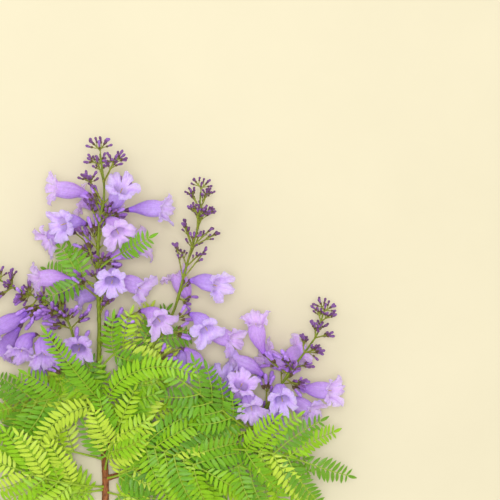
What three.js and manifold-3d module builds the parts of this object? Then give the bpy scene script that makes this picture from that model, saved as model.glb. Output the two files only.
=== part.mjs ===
// A cut flowering jacaranda branch, lying down. Millimetres, +Z up, +Y from the cut end to the tip.
import * as THREE from "three";
import { mergeVertices } from "three/addons/utils/BufferGeometryUtils.js";
import Module from "manifold-3d";

const wasm = await Module();
wasm.setup();

// Driving dimensions
const CUT_END = [-49.5, -155.8]; // place of the cut end, from the middle of the branch's outline
const FOOT_RADIUS = 3.2; // woody stem at the cut
const GAP = 0.35; // clearance between neighbouring pieces
const TUBE = 27; // bloom, from the calyx to the mouth
const MOUTH_RADIUS = 6.4; // bloom's mouth inside the lobes
const LOBE = 9.4; // length of a petal lobe
const LEAFLET = 12; // longest leaflet
const BLADE = 0.6; // thickness of a leaf blade
const TWIG = 0.55; // radius of the finest twigs
const TILTS = [0, 14, -14, 28, -28, 42, -42]; // tilts that a pinna may take to keep clear

// Woody stems: points along each, and the radii at its foot and end
const STEMS = {
  main_stem: { points: [[0, 0, 3.2], [0, 22, 3.32], [-1.2, 45, 6], [-5.6, 76, 10], [-5, 104, 16], [-4, 131, 21]], radii: [FOOT_RADIUS, 2.1] },
  shoot_right: { points: [[-1.8, 44, 6], [8, 61, 10], [17, 76, 13], [30, 107, 19]], radii: [2.1, 1.6] },
  shoot_left: { points: [[-5.2, 68, 9], [-11, 84, 15], [-17, 98, 19]], radii: [1.7, 1.4] },
  shoot_far_right: { points: [[0, 22, 4], [36, 32, 8], [88, 39, 10.5], [112, 54, 15]], radii: [2.3, 1.7] },
};

// Flower stalks: axis, radii, and the pairs of bud twigs along it, each pair turned a quarter from the last.
// A bloom: share of the axis, turn round it (0 right, 90 up), reach, and where it faces (heading, rise).
const STALKS = {
  centre: {
    points: [[-4, 131.4, 21.1], [-2.7, 160, 28], [-2.7, 193, 35], [-2.7, 221, 40], [-0.9, 254, 43], [3.6, 284, 44], [0, 318, 44]],
    radii: [1.9, 0.8],
    twigs: { pairs: 7, from: 0.24, to: 0.88, spread: 46, length: [22, 21], forks: 2, roll: 60, bud: [9, 8], seed: 11 },
    blooms: [
      [0.86, -174, 42, 175, 10], [0.66, 167, 32, 200, 45], [0.59, -169, 46, 215, 10], [0.84, 32, 19, 60, 40],
      [0.79, -4, 51, -5, 5], [0.65, 40, 24, -60, 35], [0.58, -12, 38, 20, 0], [0.44, 62, 34, -90, 62],
      [0.37, 9, 38, -30, 12], [0.42, 180, 51, 185, 8], [0.14, -32, 25, -80, -15], [0.23, 13, 56, -50, 40],
      [0.78, -125, 34, 165, -20], [0.71, -65, 34, 10, -25], [0.3, -127, 28, 200, -15],
    ],
  },
  right: {
    points: [[30.2, 107.5, 19.1], [46, 146, 27], [64, 176, 32], [74, 210, 35], [80, 231, 36.5], [87, 255, 38], [89, 284, 38]],
    radii: [1.5, 0.7],
    twigs: { pairs: 5, from: 0.48, to: 0.92, spread: 30, length: [30, 12], forks: 2, roll: 10, bud: [7, 5.5], seed: 23 },
    blooms: [
      [0.5, 17, 31, -20, 30], [0.34, 31, 39, -60, 35], [0.33, 4, 56, -25, 15],
      [0.13, -15, 33, -100, -10], [0.47, -105, 21, 120, -15], [0.18, 9, 45, -75, 15],
    ],
  },
  left: {
    points: [[-17.2, 98.6, 19.2], [-22, 118, 24], [-25, 138, 27], [-27, 158, 29], [-36, 176, 31], [-54, 188, 31], [-76, 197, 30], [-97, 208, 29], [-113, 217, 28]],
    radii: [1.3, 0.7],
    twigs: { pairs: 7, from: 0.4, to: 0.96, spread: 58, length: [13, 9], forks: 1, roll: 20, bud: [13, 7], seed: 37 },
    blooms: [
      [0.3, 162, 47, -105, 20], [0.29, 134, 34, -80, 25], [0.14, -179, 37, -95, -5],
      [0.31, 74, 27, -90, 65], [0.75, 171, 38, 205, 10], [0.72, -165, 60, -120, -15],
    ],
  },
  far_right: {
    points: [[112.4, 54.3, 15.1], [132, 68, 19], [148, 90, 22], [161, 110, 25], [172, 126, 26.5], [184, 142, 27], [194, 157, 27], [199, 174, 27]],
    radii: [1.6, 0.7],
    twigs: { pairs: 5, from: 0.44, to: 0.95, spread: 50, length: [16, 9], forks: 1, roll: 50, bud: [9, 7], seed: 41 },
    blooms: [
      [0.65, 170, 51, 96, 15], [0.41, 176, 44, 165, 5], [0.29, 166, 50, 120, 25], [0.34, 143, 39, 70, 50],
      [0.27, 115, 29, -75, 35], [0.25, 36, 15, -100, 35], [0.4, 79, 28, -80, 55], [0.4, 9, 34, -30, 20],
      [0.6, 11, 39, 0, 25], [0.67, -104, 13, 20, -50], [0.53, -146, 30, 150, -10],
    ],
  },
};

// Leaves: where each springs from, its heading and rise, how these turn to its tip, length, pairs of pinnae
// from the first one's share on, the longest pinna and how far it arches
const LEAVES = {
  leaf_low_right: { on: "shoot_right", at: 0.42, head: -12, rise: 30, turn: -22, droop: -50, length: 96, pairs: 3, first: 0.34, pinna: 64, arch: 24 },
  leaf_arching: { on: "shoot_right", at: 0.5, head: 104, rise: 44, turn: 24, droop: -30, length: 36, pairs: 1, first: 0.9, pinna: 112, arch: -100 },
  leaf_mid_right: { on: "main_stem", at: 0.93, head: 53, rise: 15, turn: -60, droop: -40, length: 66, pairs: 2, first: 0.34, pinna: 40, arch: 22 },
  leaf_between: { on: "far_right", at: 0.15, head: 138, rise: 48, turn: 8, droop: -66, length: 84, pairs: 2, first: 0.34, pinna: 34, arch: 22 },
  leaf_left: { on: "left", at: 0.03, head: 190, rise: 22, turn: 6, droop: -60, length: 70, pairs: 2, first: 0.3, pinna: 44, arch: 22 },
  leaf_low_left: { on: "main_stem", at: 0.36, head: 160, rise: 29, turn: 16, droop: -70, length: 92, pairs: 3, first: 0.34, pinna: 52, arch: 22 },
  leaf_foot_left: { on: "main_stem", at: 0.13, head: 168, rise: 42, turn: -8, droop: -60, length: 90, pairs: 2, first: 0.4, pinna: 50, arch: 22 },
  leaf_front: { on: "main_stem", at: 0.27, head: 75, rise: 50, turn: -10, droop: -50, length: 60, pairs: 2, first: 0.34, pinna: 42, arch: 22 },
  leaf_foot_right: { on: "shoot_far_right", at: 0.3, head: 0, rise: 24, turn: -26, droop: -55, length: 80, pairs: 2, first: 0.4, pinna: 50, arch: 22 },
  leaf_far_right: { on: "shoot_far_right", at: 0.93, head: 9, rise: 48, turn: -34, droop: -72, length: 88, pairs: 2, first: 0.34, pinna: 54, arch: 22 },
  leaf_far_low: { on: "shoot_far_right", at: 0.78, head: -14, rise: 20, turn: -20, droop: -40, length: 78, pairs: 2, first: 0.34, pinna: 44, arch: 22 },
  leaf_small_left: { on: "centre", at: 0.37, head: 150, rise: 4, turn: 20, droop: -20, length: 26, pairs: 1, first: 0.6, pinna: 36, arch: 30 },
  leaf_small_right: { on: "centre", at: 0.46, head: 44, rise: 2, turn: -20, droop: 10, length: 26, pairs: 0, first: 0.97, pinna: 44, arch: 20 },
};

const RAD = Math.PI / 180;
const vec = (x, y, z) => new THREE.Vector3(x, y, z);
const mix = (a, b, t) => a + (b - a) * t;
const heading = (turn, rise) => vec(Math.cos(turn * RAD) * Math.cos(rise * RAD), Math.sin(turn * RAD) * Math.cos(rise * RAD), Math.sin(rise * RAD));

// Seeded rule: one whole number is multiplied on and its share of the largest is the draw.
function dice(seed) {
  let state = seed;
  return () => {
    state = (state * 16807) % 2147483647;
    return state / 2147483647;
  };
}

const path = (points) => new THREE.CatmullRomCurve3(points.map((p) => vec(...p)), false, "catmullrom", 0.5);

// Along, to the right and up at a share of a curve.
function compass(curve, t) {
  const along = curve.getTangent(t);
  const right = along.clone().cross(vec(0, 0, 1)).normalize();
  return { at: curve.getPoint(t), along, right, up: right.clone().cross(along) };
}

const round = (c, turn) => c.right.clone().multiplyScalar(Math.cos(turn * RAD)).addScaledVector(c.up, Math.sin(turn * RAD));

function solid(geometry) {
  geometry.deleteAttribute("normal");
  geometry.deleteAttribute("uv");
  const merged = mergeVertices(geometry, 1e-4);
  return new wasm.Manifold(new wasm.Mesh({ numProp: 3, vertProperties: merged.attributes.position.array, triVerts: new Uint32Array(merged.index.array) }));
}

// A tapering limb: a closed cylinder whose rings are carried along a curve.
function limb(curve, from, to, radii, sides, steps) {
  const geometry = new THREE.CylinderGeometry(1, 1, 1, sides, steps);
  const p = geometry.attributes.position;
  for (let i = 0; i < p.count; i += 1) {
    const share = p.getY(i) + 0.5;
    const c = compass(curve, mix(from, to, share));
    const radius = mix(radii[0], radii[1], share);
    const q = c.at.addScaledVector(c.right, p.getX(i) * radius).addScaledVector(c.up, p.getZ(i) * radius);
    p.setXYZ(i, q.x, q.y, q.z);
  }
  return solid(geometry);
}

const rod = (a, b, radii, sides) => limb(new THREE.LineCurve3(a, b), 0, 1, radii, sides, 1);

// A bud on its stalklet: a lathe turned on its own axis and laid along a direction.
function bud(foot, along, stalklet, length) {
  const width = 0.35 + length * 0.19;
  const profile = [[0, 0], [TWIG * 0.8, 0.8], [TWIG * 0.9, stalklet], [width, stalklet + length * 0.7], [0, stalklet + length]];
  const rows = stalklet > 0 ? profile : profile.filter((_, i) => i !== 2);
  const geometry = new THREE.LatheGeometry(rows.map(([r, y]) => new THREE.Vector2(r, y)), 3);
  geometry.applyQuaternion(new THREE.Quaternion().setFromUnitVectors(vec(0, 1, 0), along));
  geometry.translate(foot.x, foot.y, foot.z);
  return solid(geometry);
}

// Closed skin over a row of rings, each of any number of points; a ring of one point closes an end.
function skin(rings) {
  const at = [];
  const index = [];
  const start = rings.map((ring) => {
    const first = at.length / 3;
    ring.forEach((p) => at.push(p.x, p.y, p.z));
    return first;
  });
  for (let k = 0; k + 1 < rings.length; k += 1) {
    const [na, nb] = [rings[k].length, rings[k + 1].length];
    let i = 0;
    let j = 0;
    while (i < na || j < nb) {
      const a = start[k] + (i % na);
      const b = start[k + 1] + (j % nb);
      const tie = na > nb ? -1e-9 : 1e-9; // the same faces going out to a larger ring as coming back
      const stepA = j >= nb || (i < na && (i + 1) / na <= (j + 1) / nb + tie);
      if (stepA) {
        if (na > 1) index.push(a, b, start[k] + ((i + 1) % na));
        i += 1;
      } else {
        if (nb > 1) index.push(a, b, start[k + 1] + ((j + 1) % nb));
        j += 1;
      }
    }
  }
  const geometry = new THREE.BufferGeometry();
  geometry.setAttribute("position", new THREE.BufferAttribute(new Float32Array(at), 3));
  geometry.setIndex(index);
  return new wasm.Manifold(new wasm.Mesh({ numProp: 3, vertProperties: geometry.attributes.position.array, triVerts: new Uint32Array(geometry.index.array) }));
}

// The edge of the five lobes, two above and three longer ones below.
function lobeEdge(calyx, mouth) {
  const face = compass(new THREE.LineCurve3(calyx, mouth), 1);
  return Array.from({ length: 20 }, (_, i) => {
    const lobe = Math.floor(i / 4);
    const lower = lobe === 0 || lobe === 1 || lobe === 4;
    const share = [0.22, 0.86, 1, 0.86][i % 4];
    const reach = MOUTH_RADIUS + share * LOBE * (lower ? 1.08 : 0.92);
    const forward = share * LOBE * (lower ? 0.45 : -0.1);
    const turn = -126 + 72 * lobe + [0, 11, 36, 61][i % 4];
    return mouth.clone().addScaledVector(round(face, turn), reach).addScaledVector(face.along, forward);
  });
}

// Where a bloom stands: its stalklet's foot, calyx and mouth. One that would reach below the ground rests on it.
function stand(curve, length, [t, turn, reach, head, rise]) {
  const c = compass(curve, t);
  const mouth = c.at.clone().addScaledVector(round(c, turn), reach);
  const calyx = mouth.clone().addScaledVector(heading(head, rise), -TUBE);
  const lift = Math.max(0, -Math.min(...lobeEdge(calyx, mouth).map((p) => p.z)));
  mouth.z += lift;
  calyx.z += lift;
  const root = curve.getPoint(Math.max(0.02, t - (0.2 * reach + 10) / length));
  const end = root.clone().lerp(calyx, 0.5);
  const foot = end.clone().addScaledVector(calyx.clone().sub(end).normalize(), GAP);
  return { root, end, foot, calyx, mouth };
}

// A trumpet bloom on its stalklet: the tube widens to the mouth and spreads into the lobes; the inner wall
// runs back down the throat.
function bloom({ foot, calyx, mouth }) {
  const curve = new THREE.QuadraticBezierCurve3(foot, calyx, mouth);
  const neck = foot.distanceTo(calyx) / (foot.distanceTo(calyx) + TUBE) * 0.8;
  const ring = (t, radius, count) => {
    const c = compass(curve, t);
    return Array.from({ length: count }, (_, i) => c.at.clone().addScaledVector(round(c, -126 + 360 * i / count), radius));
  };
  const grow = (share) => mix(neck, 1, share);
  const face = compass(curve, 1);
  const throat = ring(1, MOUTH_RADIUS - 0.9, 10).map((p) => p.addScaledVector(face.along, 0.7));
  return skin([
    [curve.getPoint(0)],
    ring(0, TWIG, 3),
    ring(neck, TWIG * 1.1, 3),
    ring(grow(0.07), 1.9, 5),
    ring(grow(0.3), 2.3, 5),
    ring(grow(0.66), 5.4, 10),
    ring(1, MOUTH_RADIUS, 10),
    lobeEdge(calyx, mouth),
    throat,
    [curve.getPoint(grow(0.4))],
  ]);
}

// A pinna: a thin arching blade, toothed to its rib between the leaflets.
function pinna(foot, turn, rise, length, bend, droop) {
  const teeth = Math.max(3, Math.round(length / 13.5));
  const rib = [];
  const p = foot.clone();
  for (let i = 0; i <= teeth; i += 1) {
    const share = i / teeth;
    const along = heading(turn + bend * share, rise + droop * share);
    const right = along.clone().cross(vec(0, 0, 1)).normalize();
    rib.push({ at: p.clone(), along, right, up: right.clone().cross(along) });
    p.addScaledVector(along, length / teeth);
  }
  const at = [];
  const index = [];
  const put = (c, side, forward) => {
    const q = c.at.clone().addScaledVector(c.right, side).addScaledVector(c.along, forward);
    [1, -1].forEach((s) => {
      const r = q.clone().addScaledVector(c.up, s * BLADE / 2);
      at.push(r.x, r.y, r.z);
    });
    return at.length / 6 - 1;
  };
  const face = (a, b, c) => index.push(2 * a, 2 * b, 2 * c, 2 * a + 1, 2 * c + 1, 2 * b + 1);
  const wall = (a, b) => index.push(2 * a, 2 * a + 1, 2 * b, 2 * b, 2 * a + 1, 2 * b + 1);
  const leftRow = rib.map((c, i) => put(c, i ? -0.5 : -0.15, 0));
  const rightRow = rib.map((c, i) => put(c, i ? 0.5 : 0.15, 0));
  wall(leftRow[0], rightRow[0]);
  for (let i = 0; i < teeth; i += 1) {
    const share = (i + 0.5) / teeth;
    const reach = LEAFLET * Math.min(1, 0.55 + 1.6 * share) * (1 - 0.45 * share ** 3);
    face(leftRow[i], rightRow[i], rightRow[i + 1]);
    face(leftRow[i], rightRow[i + 1], leftRow[i + 1]);
    if (i === 0) {
      wall(leftRow[1], leftRow[0]);
      wall(rightRow[0], rightRow[1]);
      continue;
    }
    const leftTip = put(rib[i], -reach * 0.86 - 0.5, reach * 0.5 + length / teeth * 0.45);
    const rightTip = put(rib[i], reach * 0.86 + 0.5, reach * 0.5 + length / teeth * 0.45);
    face(leftRow[i], leftRow[i + 1], leftTip);
    face(rightRow[i], rightTip, rightRow[i + 1]);
    wall(leftTip, leftRow[i]);
    wall(leftRow[i + 1], leftTip);
    wall(rightRow[i], rightTip);
    wall(rightTip, rightRow[i + 1]);
  }
  const tip = put(rib[teeth], 0, LEAFLET * 0.8);
  face(leftRow[teeth], rightRow[teeth], tip);
  wall(tip, leftRow[teeth]);
  wall(rightRow[teeth], tip);
  const geometry = new THREE.BufferGeometry();
  geometry.setAttribute("position", new THREE.BufferAttribute(new Float32Array(at), 3));
  geometry.setIndex(index);
  return new wasm.Manifold(new wasm.Mesh({ numProp: 3, vertProperties: geometry.attributes.position.array, triVerts: new Uint32Array(geometry.index.array) }));
}

// Everything already in place, so that later twigs and leaflets keep clear of it.
const placed = [];
const near = (a, b, d) => [0, 1, 2].every((k) => a.min[k] - d < b.max[k] && b.min[k] - d < a.max[k]);
const clear = (piece, skip) => {
  const box = piece.boundingBox();
  return box.min[2] > 0 && placed.every((o) => o.name === skip || !near(box, o.box, GAP) || piece.minGap(o.solid, GAP) >= GAP * 0.99);
};
const keep = (name, piece) => placed.push({ name, solid: piece, box: piece.boundingBox() });
const largest = (piece) => piece.decompose().reduce((a, b) => (a.volume() > b.volume() ? a : b));
const fuse = (pieces) => largest(wasm.Manifold.union(pieces));

const group = new THREE.Group();
function add(name, piece, color, roughness) {
  const mesh = piece.getMesh();
  const geometry = new THREE.BufferGeometry();
  geometry.setAttribute("position", new THREE.BufferAttribute(Float32Array.from(mesh.vertProperties), 3));
  geometry.setIndex(new THREE.BufferAttribute(Uint32Array.from(mesh.triVerts), 1));
  geometry.computeVertexNormals();
  const object = new THREE.Mesh(geometry, new THREE.MeshStandardMaterial({ color, roughness, metalness: 0, flatShading: true }));
  object.name = name;
  object.position.set(CUT_END[0], CUT_END[1], 0);
  group.add(object);
}

// Stems: a side shoot is cut clear of the stem it leaves.
const stemCurves = {};
const grown = {};
Object.entries(STEMS).forEach(([name, stem]) => {
  const curve = path(stem.points);
  stemCurves[name] = curve;
  const steps = (stem.points.length - 1) * 2;
  let piece = limb(curve, 0, 1, stem.radii, 8, steps);
  grown[name] = limb(curve, 0, 1, stem.radii.map((r) => r + GAP), 8, steps);
  if (name !== "main_stem") piece = largest(piece.subtract(grown.main_stem));
  keep(name, piece);
  add(name, piece, name === "main_stem" ? 0x8a5a2c : 0x7d7a32, 0.8);
});

// Flower stalks and their blooms: the bloom's twig leaves the axis below it and stops a gap short of its stalklet.
const stalkParts = {};
const blooms = [];
Object.entries(STALKS).forEach(([name, stalk]) => {
  const curve = path(stalk.points);
  const parts = [limb(curve, 0, 1, stalk.radii, 5, (stalk.points.length - 1) * 2)];
  const length = curve.getLength();
  stalk.blooms.forEach((row, i) => {
    const place = stand(curve, length, row);
    parts.push(rod(place.root, place.end, [1, 0.7], 3));
    blooms.push({ name: `bloom_${name}_${String(i + 1).padStart(2, "0")}`, ...place });
  });
  stalkParts[name] = { curve, parts };
  stemCurves[name] = curve;
  grown[name] = limb(curve, 0, 1, stalk.radii.map((r) => r + GAP), 5, (stalk.points.length - 1) * 2);
});
blooms.forEach((b) => {
  b.solid = bloom(b);
  keep(b.name, b.solid);
});

// Bud twigs: pairs along the stalk, forking in threes, the last forks ending in buds.
Object.entries(STALKS).forEach(([name, stalk]) => {
  const { curve, parts } = stalkParts[name];
  const rule = stalk.twigs;
  const draw = dice(rule.seed);
  const grow = (foot, along, side, length, forks, size) => {
    const twig = bud(foot, along, length, size);
    if (!clear(twig, name)) return;
    parts.push(twig);
    [-1, 1].forEach((s) => {
      const fork = foot.clone().addScaledVector(along, length - 1 - 0.4 * s);
      const out = along.clone().multiplyScalar(Math.cos(s * 40 * RAD)).addScaledVector(side, Math.sin(s * 40 * RAD));
      if (forks > 1) {
        grow(fork, out, side.clone().cross(out).normalize(), 6, forks - 1, size * 0.92);
      } else {
        const piece = bud(fork, out, 0, size * 1.25);
        if (clear(piece, name)) parts.push(piece);
      }
    });
  };
  for (let i = 0; i < rule.pairs; i += 1) {
    const share = i / (rule.pairs - 1);
    const c = compass(curve, mix(rule.from, rule.to, share));
    for (let k = 0; k < 2; k += 1) {
      const turn = rule.roll + 90 * i + 180 * k + 24 * (draw() - 0.5);
      const spread = (rule.spread + 14 * (draw() - 0.5)) * RAD;
      const out = round(c, turn);
      const along = c.along.clone().multiplyScalar(Math.cos(spread)).addScaledVector(out, Math.sin(spread));
      const side = out.clone().cross(along).normalize();
      const length = mix(rule.length[0], rule.length[1], share) * (0.85 + 0.3 * draw());
      grow(c.at, along, side, length, share > 0.7 ? rule.forks : 1, mix(rule.bud[0], rule.bud[1], share));
    }
  }
  const top = compass(curve, 1);
  grow(top.at.addScaledVector(top.along, -2), top.along, top.right, 6, 2, rule.bud[1]);
  const piece = fuse(parts);
  keep(name, piece);
  add(`flower_stalk_${name}`, piece, 0x6f7a2a, 0.7);
});
blooms.forEach((b) => add(b.name, b.solid, 0xb9a2ea, 0.6));

// A leaf: a stalk that arches over, with pairs of pinnae and one at its end. A pinna tries a few tilts, then
// three fifths of its length, and is left out where none keeps clear.
function frond(name, leaf) {
  const steps = 5;
  const points = [stemCurves[leaf.on].getPoint(leaf.at)];
  for (let i = 0; i < steps; i += 1) {
    const share = i / steps;
    const way = heading(leaf.head + leaf.turn * share, leaf.rise + leaf.droop * share);
    points.push(points[i].clone().addScaledVector(way, leaf.length / steps));
  }
  const curve = new THREE.CatmullRomCurve3(points, false, "catmullrom", 0.5);
  const stalk = largest(limb(curve, 0, 1, [1.1, 0.7], 4, steps).subtract(grown[leaf.on]));
  const parts = [stalk];
  for (let i = 0; i <= leaf.pairs; i += 1) {
    const share = i / Math.max(1, leaf.pairs);
    const c = compass(curve, i === leaf.pairs ? 0.97 : mix(leaf.first, 0.94, share));
    const head = Math.atan2(c.along.y, c.along.x) / RAD;
    const rise = Math.asin(c.along.z) / RAD;
    (i === leaf.pairs ? [0] : [1, -1]).forEach((s) => {
      const length = leaf.pinna * (s === 0 ? 0.8 : 1 - 0.25 * Math.abs(share - 0.35));
      const foot = c.at.clone().addScaledVector(c.along, 0.5 * s);
      const turn = head + s * (58 - 12 * share);
      const tries = Array.from({ length: 2 * TILTS.length }, (_, k) => k);
      tries.some((k) => {
        const size = k < TILTS.length ? 1 : 0.6;
        const piece = pinna(foot, turn, rise * 0.4 + 6 + TILTS[k % TILTS.length], length * size, -s * leaf.arch, -34);
        const fits = clear(piece, name);
        if (fits) parts.push(piece);
        return fits;
      });
    });
  }
  return fuse(parts);
}

Object.entries(LEAVES).forEach(([name, leaf]) => {
  const piece = frond(name, leaf);
  keep(name, piece);
  add(name, piece, 0x6fae2a, 0.6);
});

export default group;
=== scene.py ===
# A cut flowering jacaranda branch on a pale floor: bark, flower stalks, buds, blooms and fern-like leaves.
# Shapes are worked out in millimetres from the cut end. The branch lies along +Y, and +Z is up.
import math

import bpy
import numpy as np
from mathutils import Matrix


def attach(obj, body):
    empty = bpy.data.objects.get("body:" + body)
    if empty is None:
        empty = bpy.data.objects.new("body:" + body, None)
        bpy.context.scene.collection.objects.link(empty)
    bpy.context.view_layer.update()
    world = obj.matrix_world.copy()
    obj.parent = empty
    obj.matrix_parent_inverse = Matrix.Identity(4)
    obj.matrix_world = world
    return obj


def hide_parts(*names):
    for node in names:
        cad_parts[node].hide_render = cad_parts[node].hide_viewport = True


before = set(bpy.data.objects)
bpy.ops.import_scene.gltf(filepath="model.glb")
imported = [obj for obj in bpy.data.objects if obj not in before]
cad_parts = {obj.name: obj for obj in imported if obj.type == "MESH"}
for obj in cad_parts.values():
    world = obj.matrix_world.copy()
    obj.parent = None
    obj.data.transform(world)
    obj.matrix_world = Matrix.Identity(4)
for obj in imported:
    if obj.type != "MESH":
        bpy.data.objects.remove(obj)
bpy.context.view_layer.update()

# The cut end's place in the frame. Then sizes that the part's source has too: a bloom's tube, the radius of
# its mouth, its lobes, the gap at its foot and the turn where the first of its five lobes starts, and a
# leaflet's length.
cutEnd = np.array([-49.5, -155.8, 0.0])
bloomSize = {"tube": 27, "mouth": 6.4, "lobe": 9.4, "gap": 0.35, "start": -126}
leafletLength = 12
floorGap = 0.1  # how far petals and leaflets stay above the floor


# A vector made one long.
def unit(v):
    return v / np.maximum(np.linalg.norm(v, axis=-1, keepdims=True), 1e-12)


# The value at share t of the way from a to b.
def mix(a, b, t):
    return a + (b - a) * t


# 0 below low, 1 above high, and a smooth S between them.
def ease(x, low, high):
    t = np.clip((x - low) / (high - low), 0, 1)
    return t * t * (3 - 2 * t)


# The direction that turns from +X round +Z and then rises, both in degrees.
def heading(turn, rise):
    turn, rise = np.radians(turn), np.radians(rise)
    return np.stack([np.cos(turn) * np.cos(rise), np.sin(turn) * np.cos(rise), np.sin(rise)], axis=-1)


# The source's seeded rule: a whole number is multiplied on, and its share of the largest one is the draw.
def dice(seed):
    factor, largest = 16807, 2147483647
    state = [seed]

    def draw():
        state[0] = state[0] * factor % largest
        return state[0] / largest

    return draw


# Smooth curve through points at shares t: each span is a cubic, whose slope at a point is half the
# difference of the points beside it. Past the ends the points go straight on.
def curveAt(points, t):
    points = np.asarray(points, float)
    p = np.vstack([2 * points[0] - points[1], points, 2 * points[-1] - points[-2]])
    place = np.clip(np.asarray(t, float), 0, 1) * (len(points) - 1)
    i = np.minimum(place.astype(int), len(points) - 2)
    w = (place - i)[..., None]
    a, b, c, d = p[i], p[i + 1], p[i + 2], p[i + 3]
    m, n = (c - a) / 2, (d - b) / 2
    return b + m * w + (3 * c - 3 * b - 2 * m - n) * w**2 + (2 * b - 2 * c + m + n) * w**3


# The curve's direction at shares t, from two points close by.
def curveAlong(points, t):
    t = np.asarray(t, float)
    return unit(curveAt(points, t + 1e-4) - curveAt(points, t - 1e-4))


# The curve's length, as the sum of 200 chords.
def curveLength(points):
    return np.linalg.norm(np.diff(curveAt(points, np.linspace(0, 1, 201)), axis=0), axis=1).sum()


# Right of and above a direction, level with the ground as far as can be.
def sides(along):
    right = unit(np.cross(along, [0.0, 0.0, 1.0]))
    return right, np.cross(right, along)


# The direction that stands off a line at a turn round it, in degrees.
def off(right, up, turn):
    turn = np.radians(turn)
    return right * np.cos(turn)[..., None] + up * np.sin(turn)[..., None]


# Even turns all round, in radians.
def roundTurns(columns):
    return 2 * np.pi * np.arange(columns) / columns


# The directions off each station of a line at such turns: right cos(turn) + up sin(turn).
def spokes(right, up, turns):
    return right[..., None, :] * np.cos(turns)[:, None] + up[..., None, :] * np.sin(turns)[:, None]


# Points that lie lower than a height are lifted to it.
def keepAbove(points, height):
    points[..., 2] = np.maximum(points[..., 2], height)


# Faces of a grid of points, rows by columns, that closes round its columns. Two single points follow the
# grid and cap it, one before the first row and one past the last. Many like grids lie one after another.
def gridFaces(rows, columns, count=1):
    i, j = np.meshgrid(np.arange(rows - 1), np.arange(columns), indexing="ij")
    k = (j + 1) % columns
    near, far = i * columns, (i + 1) * columns
    quads = np.stack([near + j, far + j, far + k, near + k], axis=-1).reshape(-1, 4)
    ring = np.arange(columns)
    after = (ring + 1) % columns
    size = rows * columns
    last = size - columns
    head = np.stack([np.full(columns, size), ring, after], axis=-1)
    tail = np.stack([np.full(columns, size + 1), last + after, last + ring], axis=-1)
    triangles = np.vstack([head, tail])
    steps = (np.arange(count) * (size + 2))[:, None, None]
    return (quads[None] + steps).reshape(-1, 4), (triangles[None] + steps).reshape(-1, 3)


# Tubes carried along many lines at once: lines (tubes, stations, 3) and radii (tubes, stations). Each ring
# stands square to its line, relief multiplies the radius of each point, and low cones close both ends.
def tubes(lines, radii, columns, relief=1.0):
    along = unit(np.gradient(lines, axis=1))
    steep = np.abs(along.mean(axis=1))[:, 2] > 0.9
    axis = np.where(steep[:, None], [1.0, 0.0, 0.0], [0.0, 0.0, 1.0])[:, None, :]
    right = unit(np.cross(along, axis))
    up = np.cross(right, along)
    reach = radii[:, :, None] * relief
    points = lines[:, :, None] + spokes(right, up, roundTurns(columns)) * reach[..., None]
    head = lines[:, 0] - along[:, 0] * radii[:, :1] * 0.4
    tail = lines[:, -1] + along[:, -1] * radii[:, -1:] * 0.5
    points = np.concatenate([points.reshape(len(lines), -1, 3), head[:, None], tail[:, None]], axis=1)
    quads, triangles = gridFaces(lines.shape[1], columns, len(lines))
    return points.reshape(-1, 3), quads, triangles


# Joins shapes into one piece, puts it into the frame and says what it stands for. A shape is its points,
# quads and triangles, and the number of the material of each quad and of each triangle.
def makePiece(name, shapes, materials, nodes=(), smooth=40):
    points, loops, starts, paint = [], [], [], []
    base, corner = 0, 0
    for p, quads, triangles, quadPaint, trianglePaint in shapes:
        points.append(p)
        loops += [quads.ravel() + base, triangles.ravel() + base]
        starts += [corner + 4 * np.arange(len(quads)), corner + quads.size + 3 * np.arange(len(triangles))]
        paint += [np.broadcast_to(quadPaint, len(quads)), np.broadcast_to(trianglePaint, len(triangles))]
        base += len(p)
        corner += quads.size + triangles.size
    points = (np.concatenate(points) + cutEnd) / 1000
    loops = np.concatenate(loops)
    starts = np.concatenate(starts)
    mesh = bpy.data.meshes.new(name)
    mesh.vertices.add(len(points))
    mesh.vertices.foreach_set("co", points.astype(np.float32).ravel())
    mesh.loops.add(len(loops))
    mesh.loops.foreach_set("vertex_index", loops.astype(np.int32))
    mesh.polygons.add(len(starts))
    mesh.polygons.foreach_set("loop_start", starts.astype(np.int32))
    mesh.polygons.foreach_set("material_index", np.concatenate(paint).astype(np.int32))
    mesh.update(calc_edges=True)
    mesh.set_sharp_from_angle(angle=math.radians(smooth))
    for material in materials:
        mesh.materials.append(material)
    piece = bpy.data.objects.new(name, mesh)
    bpy.context.scene.collection.objects.link(piece)
    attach(piece, "root")
    if nodes:
        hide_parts(*nodes)
    print(name, len(starts), "faces")


# A screen colour, 0 to 255, as the linear one that a shader takes.
def colour(tone):
    values = np.array(tone) / 255
    return tuple(np.where(values <= 0.04045, values / 12.92, ((values + 0.055) / 1.055) ** 2.4)) + (1.0,)


# Finishes: each is one Principled shader, whose colour, gloss and relief follow one noise on the piece. The
# noise turns from the dark tone to the base tone between two levels, and gloss strays from its mean by a
# little. height is the relief's depth in metres, and glow how far red, green and blue light spread in a
# soft piece.
noise = {
    "detail": 5, "roughness": 0.6, "dark": 0.34, "base": 0.62, "stray": 0.1, "height": 0.0002,
    "glow": (1.0, 0.9, 1.0),
}


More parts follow.
